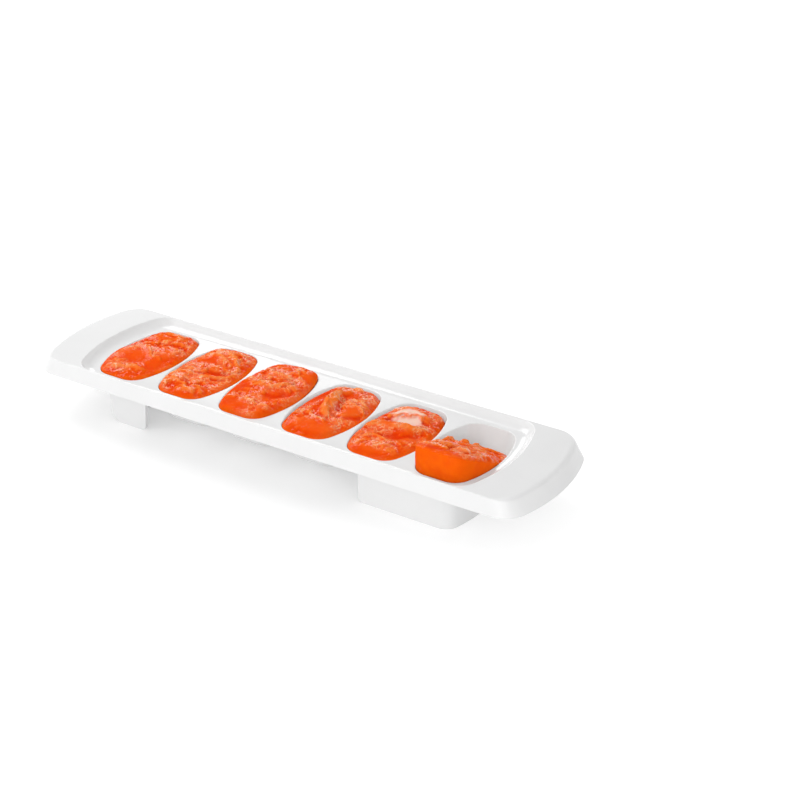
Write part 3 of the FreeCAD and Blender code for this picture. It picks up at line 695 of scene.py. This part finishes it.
def rings_mesh(name, rings, place):
    """A closed surface from rings of points, with a pole at each end.

    rings is an array (rings, spokes, 3). The first and last ring are single points.
    Neighbouring rings are joined by quads, and the poles by triangles.
    """
    count, spokes = rings.shape[:2]
    inner = rings[1:-1].reshape(-1, 3)
    points = np.vstack([rings[0, :1], inner, rings[-1, :1]])
    spoke = np.arange(spokes)
    after = (spoke + 1) % spokes
    first = 1 + spoke
    row = np.arange(count - 3)[:, None] * spokes + 1
    quads = np.stack([row + spoke, row + spokes + spoke, row + spokes + after, row + after], -1)
    last = 1 + (count - 3) * spokes
    pole = len(points) - 1
    top = np.stack([np.zeros(spokes, int), first, 1 + after], -1)
    bottom = np.stack([last + spoke, np.full(spokes, pole), last + after], -1)
    corners = np.concatenate([top.ravel(), quads.ravel(), bottom.ravel()])
    sides = np.concatenate([np.full(spokes, 3), np.full(quads.size // 4, 4), np.full(spokes, 3)])
    mesh = bpy.data.meshes.new(name)
    mesh.vertices.add(len(points))
    mesh.vertices.foreach_set("co", place(points).astype(np.float32).ravel())
    mesh.loops.add(len(corners))
    mesh.loops.foreach_set("vertex_index", corners.astype(np.int32))
    mesh.polygons.add(len(sides))
    starts = np.concatenate([[0], np.cumsum(sides)[:-1]])
    mesh.polygons.foreach_set("loop_start", starts.astype(np.int32))
    mesh.polygons.foreach_set("loop_total", sides.astype(np.int32))
    mesh.polygons.foreach_set("use_smooth", np.ones(len(sides), bool))
    mesh.update(calc_edges=True)
    mesh.validate()
    return mesh


def set_attribute(mesh, name, rings):
    """Writes one number per vertex, given as (rings, spokes) with a pole at each end."""
    values = np.concatenate([rings[0, :1], rings[1:-1].ravel(), rings[-1, :1]])
    attribute = mesh.attributes.new(name, "FLOAT", "POINT")
    attribute.data.foreach_set("value", values.astype(np.float32))


def portion_piece(body, finish, material):
    """A portion: heaped on top, and below the form that its well gave it.

    Spokes run round the middle, rings out over the heap to the edge and back under.
    At the edge the heap rises as 1 - exp(-(distance / shoulder)^1.2). The underside is
    axis - sqrt(reach^2 - y^2). The whole is made about the rocking axis, turned by the
    tilt of its CAD solid and moved to its well.
    """
    node = f"puree_{body}"
    axis = np.array(JOINT_OF[body]["pos_m"])
    level_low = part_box("puree_portion_1")[0]
    size = {
        "radius": axis[2] - level_low.z,
        "corner": finish.corner_radius,
        "bow": finish.bow_radius,
        "width": finish.width,
        "drop": finish.axis_height,
    }
    spokes, over, under = 288, 84, 72
    least_rise = 0.1 * MM
    angle = np.linspace(0, 2 * math.pi, spokes, endpoint=False)[None, :]
    level = edge_height(HEAPS[body], angle) * MM
    edge = mouth_outline(angle, size["drop"] - level, size)
    share = np.sin(np.linspace(0, math.pi / 2, over))[:, None]
    reach = share * edge
    x, y = reach * np.cos(angle), reach * np.sin(angle)
    fields = heap_fields(body, size, finish)
    height, *masks = (sample(field, x / MM, y / MM) for field in fields.values())
    shoulder = 1 - np.exp(-((edge - reach) / finish.shoulder) ** 1.2)
    heap = np.maximum(height * MM + finish.rim - level, least_rise) * shoulder + level
    top = np.stack([x, y, heap - size["drop"]], -1)
    share = np.cos(np.linspace(0, math.pi / 2, under))[1:, None]
    x, y = share * edge * np.cos(angle), share * edge * np.sin(angle)
    depth = np.sqrt(np.maximum(portion_reach(x, size) ** 2 - y ** 2, 0))
    bottom = np.stack([x, y, -depth], -1)
    tilt = np.radians(TILTS.get(body, 0.0))
    c, s = math.cos(tilt), math.sin(tilt)
    turn = np.array([[1, 0, 0], [0, c, s], [0, -s, c]])
    mesh = rings_mesh(node, np.concatenate([top, bottom]), lambda p: p @ turn.T + axis)
    plain = np.zeros(bottom.shape[:2])
    for name, mask in zip([*list(fields)[1:], "open_top"], [*masks, 1.0]):
        set_attribute(mesh, name, np.concatenate([mask * shoulder, plain]))
    mesh.materials.append(material)
    piece = bpy.data.objects.new(f"heaped_{body}", mesh)
    bpy.context.scene.collection.objects.link(piece)
    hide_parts(node)
    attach(piece, body)


# ------------------------------------------------------------------- operators

class FREEZERTRAY_OT_finish_tray(bpy.types.Operator):
    """Gives the moulded tray its glossy plastic"""

    bl_idname = "freezer_tray.finish_tray"
    bl_label = "Finish the tray"

    def execute(self, context):
        tray = frame["nodes"]["tray"]
        tray.data.materials.clear()
        tray.data.materials.append(plastic_material(context.scene.tray_finish))
        return {"FINISHED"}


class FREEZERTRAY_OT_fill_wells(bpy.types.Operator):
    """Fills every well with a heaped portion of puree"""

    bl_idname = "freezer_tray.fill_wells"
    bl_label = "Fill the wells"

    def execute(self, context):
        finish = context.scene.puree_finish
        material = puree_material(finish)
        for body in PORTIONS:
            portion_piece(body, finish, material)
        return {"FINISHED"}


# The width and place of each lamp, and the point that they all face, in metres.
LAMPS = {
    "key": (0.70, (-0.62, -0.62, 0.70)),
    "front": (0.80, (0.25, -1.00, 0.28)),
    "right": (0.80, (0.75, -0.80, 0.45)),
    "left": (0.70, (-0.80, 0.35, 0.95)),
    "back": (0.45, (-1.05, 1.55, 0.74)),
}
LAMP_TARGET = (0, 0, 0.02)

# Half the floor's width in metres, its roughness, and how much darker its clouds are.
FLOOR_HALF, FLOOR_ROUGHNESS, FLOOR_CLOUD = 3.0, 0.85, 0.985

# The floor's glow, which is painted light, is told by the length of place x stretch + shift:
# it is least a little left of the middle, which leaves a painted shade under the tray,
# and grows faster along the tray than across it.
GLOW_STRETCH, GLOW_SHIFT = (1.15, 1, 0), (0.023, 0, 0)

# What reflections see: white from the horizon up to the first height, and this grey
# from the second height upwards. Heights are the sine of the angle over the horizon.
WALL_TOP, CEILING = (0.36, 1.0), (0.50, 0.15)


def add_lamp(name, power, width, place, target):
    """A square soft lamp that faces a point."""
    data = bpy.data.lights.new(name, "AREA")
    data.energy, data.size = power, width
    obj = bpy.data.objects.new(name, data)
    obj.location = place
    x, y, z = np.array(target) - np.array(place)
    obj.rotation_euler = (math.atan2(math.hypot(x, y), -z), 0, math.atan2(-x, y))
    bpy.context.scene.collection.objects.link(obj)


def seen_directly(tree):
    """1 for camera, glossy and transmitted rays, 0 for the rays that light things."""
    path = add(tree, "ShaderNodeLightPath")
    first = add(tree, "ShaderNodeMath", operation="MAXIMUM")
    second = add(tree, "ShaderNodeMath", operation="MAXIMUM")
    tree.links.new(path.outputs["Is Camera Ray"], first.inputs[0])
    tree.links.new(path.outputs["Is Glossy Ray"], first.inputs[1])
    tree.links.new(first.outputs[0], second.inputs[0])
    tree.links.new(path.outputs["Is Transmission Ray"], second.inputs[1])
    return second.outputs[0]


class FREEZERTRAY_OT_set_stage(bpy.types.Operator):
    """Sets up the floor, the lamps, the white surroundings and the camera"""

    bl_idname = "freezer_tray.set_stage"
    bl_label = "Set the stage"

    def execute(self, context):
        settings = context.scene.stage_settings
        self.make_floor(settings)
        self.make_world(context.scene, settings)
        for name, (width, place) in LAMPS.items():
            add_lamp(f"{name}_lamp", getattr(settings, name), width, place, LAMP_TARGET)
        self.make_camera(context.scene, settings)
        context.scene.view_settings.view_transform = "Standard"
        return {"FINISHED"}

    def make_floor(self, settings):
        """A matt floor, which shows less of its light and some painted white besides, least under
        the tray.
        """
        far = FLOOR_HALF
        mesh = bpy.data.meshes.new("floor")
        corners = [(-far, -far, 0), (far, -far, 0), (far, far, 0), (-far, far, 0)]
        mesh.from_pydata(corners, [], [(0, 1, 2, 3)])
        material, tree, shader = new_material("pale_floor")
        link = tree.links.new
        tone = tuple(settings.floor)
        cloud = mottle(tree, scale=3, detail=2)
        colour = blend_colours(tree, cloud, tuple(FLOOR_CLOUD * c for c in tone), tone)
        link(colour, shader.inputs["Base Color"])
        shader.inputs["Roughness"].default_value = FLOOR_ROUGHNESS
        shown = add(tree, "ShaderNodeBsdfDiffuse")
        shown.inputs["Color"].default_value = (*(settings.floor_shade * c for c in tone), 1)
        glow = add(tree, "ShaderNodeEmission")
        both = add(tree, "ShaderNodeAddShader")
        choose = add(tree, "ShaderNodeMixShader")
        nearer = add(tree, "ShaderNodeVectorMath", operation="MULTIPLY_ADD")
        nearer.inputs[1].default_value = GLOW_STRETCH
        nearer.inputs[2].default_value = GLOW_SHIFT
        distance = add(tree, "ShaderNodeVectorMath", operation="LENGTH")
        link(add(tree, "ShaderNodeTexCoord").outputs["Object"], nearer.inputs[0])
        link(nearer.outputs["Vector"], distance.inputs[0])
        growth = eased(tree, distance.outputs["Value"],
                       *zip(settings.glow_start, settings.floor_glow))
        link(growth, glow.inputs["Strength"])
        link(shown.outputs[0], both.inputs[0])
        link(glow.outputs[0], both.inputs[1])
        link(seen_directly(tree), choose.inputs["Fac"])
        link(shader.outputs[0], choose.inputs[1])
        link(both.outputs[0], choose.inputs[2])
        link(choose.outputs[0], tree.nodes["Material Output"].inputs["Surface"])
        mesh.materials.append(material)
        floor = bpy.data.objects.new("floor", mesh)
        bpy.context.scene.collection.objects.link(floor)

    def make_world(self, scene, settings):
        """Even light from all round, which the camera and reflections see as white walls."""
        world = bpy.data.worlds.new("white_room")
        world.use_nodes = True
        tree = world.node_tree
        link = tree.links.new
        background = tree.nodes["Background"]
        background.inputs["Color"].default_value = (1, 1, 1, 1)
        split = add(tree, "ShaderNodeSeparateXYZ")
        link(add(tree, "ShaderNodeTexCoord").outputs["Generated"], split.inputs[0])
        choose = add(tree, "ShaderNodeMix", A=settings.sky)
        link(seen_directly(tree), choose.inputs["Factor"])
        link(eased(tree, split.outputs["Z"], WALL_TOP, CEILING), choose.inputs["B"])
        link(choose.outputs["Result"], background.inputs["Strength"])
        scene.world = world

    def make_camera(self, scene, settings):
        """A long-lens camera, high at the front right of the tray."""
        data = bpy.data.cameras.new("camera")
        data.lens, data.sensor_width = settings.camera_lens, 36.0
        camera = bpy.data.objects.new("camera", data)
        camera.location = settings.camera_place
        camera.rotation_euler = Euler((math.pi / 2 - settings.camera_dip, 0, settings.camera_turn))
        scene.collection.objects.link(camera)
        scene.camera = camera


class FREEZERTRAY_PT_panel(bpy.types.Panel):
    """Lists the tray's settings and steps"""

    bl_label = "Freezer tray"
    bl_idname = "FREEZERTRAY_PT_panel"
    bl_space_type = "VIEW_3D"
    bl_region_type = "UI"
    bl_category = "Freezer tray"

    def draw(self, context):
        for group, operator in STEPS:
            box = self.layout.box()
            settings = getattr(context.scene, group)
            for name in settings.__annotations__:
                box.prop(settings, name)
            box.operator(operator)


STEPS = (
    ("tray_finish", FREEZERTRAY_OT_finish_tray.bl_idname),
    ("puree_finish", FREEZERTRAY_OT_fill_wells.bl_idname),
    ("stage_settings", FREEZERTRAY_OT_set_stage.bl_idname),
)
GROUPS = {"tray_finish": TrayFinish, "puree_finish": PureeFinish, "stage_settings": StageSettings}
CLASSES = (
    TrayFinish, PureeFinish, StageSettings, FREEZERTRAY_OT_finish_tray,
    FREEZERTRAY_OT_fill_wells, FREEZERTRAY_OT_set_stage, FREEZERTRAY_PT_panel,
)


def register():
    """Adds the classes, and their settings to the scene."""
    for cls in CLASSES:
        bpy.utils.register_class(cls)
    for name, cls in GROUPS.items():
        setattr(bpy.types.Scene, name, bpy.props.PointerProperty(type=cls))


def unregister():
    """Takes away what register added."""
    for name in GROUPS:
        delattr(bpy.types.Scene, name)
    for cls in reversed(CLASSES):
        bpy.utils.unregister_class(cls)


def main():
    """Dresses the tray."""
    register()
    for group, operator in STEPS:
        module, name = operator.split(".")
        getattr(getattr(bpy.ops, module), name)()


if __name__ == "__main__":
    main()
